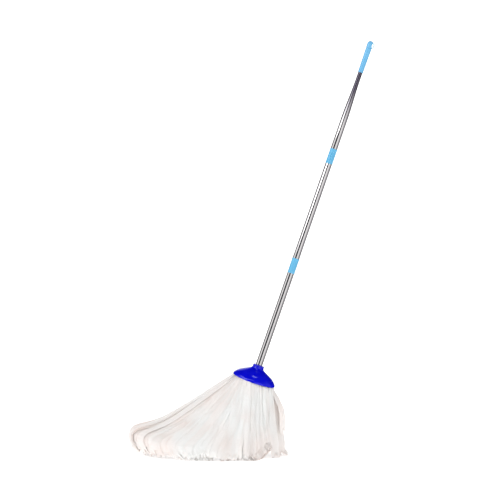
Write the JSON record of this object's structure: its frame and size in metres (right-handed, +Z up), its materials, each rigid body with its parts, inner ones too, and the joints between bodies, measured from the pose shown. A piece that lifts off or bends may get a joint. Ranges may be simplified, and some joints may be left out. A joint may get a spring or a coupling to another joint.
{
  "type": "string mop",
  "caption": "Floor mop with a round moulded cap, swept cloth strips and a leaning screw-together steel pole.",
  "frame": {"origin": "on the floor, straight under the centre of the cap's rim", "axes": "+Z up, +X the way the pole leans, so that the strips trail to -X; the pole's axis lies in the XZ plane"},
  "size_m": [0.811, 0.2445, 1.375],
  "materials": {
    "cap_plastic": "glossy moulded, deep blue",
    "collar_plastic": "satin moulded, light blue",
    "grip_plastic": "soft satin moulded, light blue",
    "plug_plastic": "moulded, pale grey",
    "pole_steel": "bright polished stainless",
    "screw_steel": "zinc plated",
    "seal_rubber": "matt black",
    "strip_cloth": "soft white non-woven cloth strips"
  },
  "bodies": {
    "head": {"mop_cap": "cap_plastic", "clamp_disc": "cap_plastic", "clamp_screws": "screw_steel", "screw_washers": "screw_steel", "strip_band": "strip_cloth", "strips_tail": "strip_cloth", "strips_back_right": "strip_cloth", "strips_back": "strip_cloth", "strips_back_left": "strip_cloth", "strips_left_back": "strip_cloth", "strips_left_front": "strip_cloth", "strips_front_left": "strip_cloth", "strips_front": "strip_cloth", "strips_front_right": "strip_cloth", "strips_core": "strip_cloth"},
    "neck_seal": {"neck_seal_ring": "seal_rubber"},
    "lower_section": {"lower_end_plug": "plug_plastic", "lower_tube": "pole_steel", "lower_collar": "collar_plastic"},
    "lower_seal": {"lower_seal_ring": "seal_rubber"},
    "middle_section": {"middle_end_plug": "plug_plastic", "middle_tube": "pole_steel", "upper_collar": "collar_plastic"},
    "upper_seal": {"upper_seal_ring": "seal_rubber"},
    "upper_section": {"upper_end_plug": "plug_plastic", "upper_tube": "pole_steel", "grip_sleeve": "grip_plastic"},
    "loop": {"hanging_loop": "grip_plastic", "loop_retainer": "screw_steel"}
  },
  "joints": [
    {"name": "lower_section_rise", "type": "slide", "parent": "head", "child": "neck_seal", "axis": [0.3256, 0, 0.9455], "range_m": [0, 0.0241]},
    {"name": "lower_section_screw", "type": "hinge", "parent": "neck_seal", "child": "lower_section", "pos_m": [0.0127, 0, 0.28887], "axis": [0.3256, 0, 0.9455], "range_deg": [0, 2160]},
    {"name": "middle_section_rise", "type": "slide", "parent": "lower_section", "child": "lower_seal", "axis": [0.3256, 0, 0.9455], "range_m": [0, 0.0241]},
    {"name": "middle_section_screw", "type": "hinge", "parent": "lower_seal", "child": "middle_section", "pos_m": [0.13218, 0, 0.63588], "axis": [0.3256, 0, 0.9455], "range_deg": [0, 2160]},
    {"name": "upper_section_rise", "type": "slide", "parent": "middle_section", "child": "upper_seal", "axis": [0.3256, 0, 0.9455], "range_m": [0, 0.0241]},
    {"name": "upper_section_screw", "type": "hinge", "parent": "upper_seal", "child": "upper_section", "pos_m": [0.25687, 0, 0.99801], "axis": [0.3256, 0, 0.9455], "range_deg": [0, 2160]},
    {"name": "loop_swivel", "type": "hinge", "parent": "upper_section", "child": "loop", "pos_m": [0.37831, 0, 1.35069], "axis": [0.3256, 0, 0.9455], "continuous": true}
  ],
  "couplings": [
    {"joint": "lower_section_rise", "follows": "lower_section_screw", "m_per_rad": 0.00063662},
    {"joint": "middle_section_rise", "follows": "middle_section_screw", "m_per_rad": 0.00063662},
    {"joint": "upper_section_rise", "follows": "upper_section_screw", "m_per_rad": 0.00063662}
  ]
}
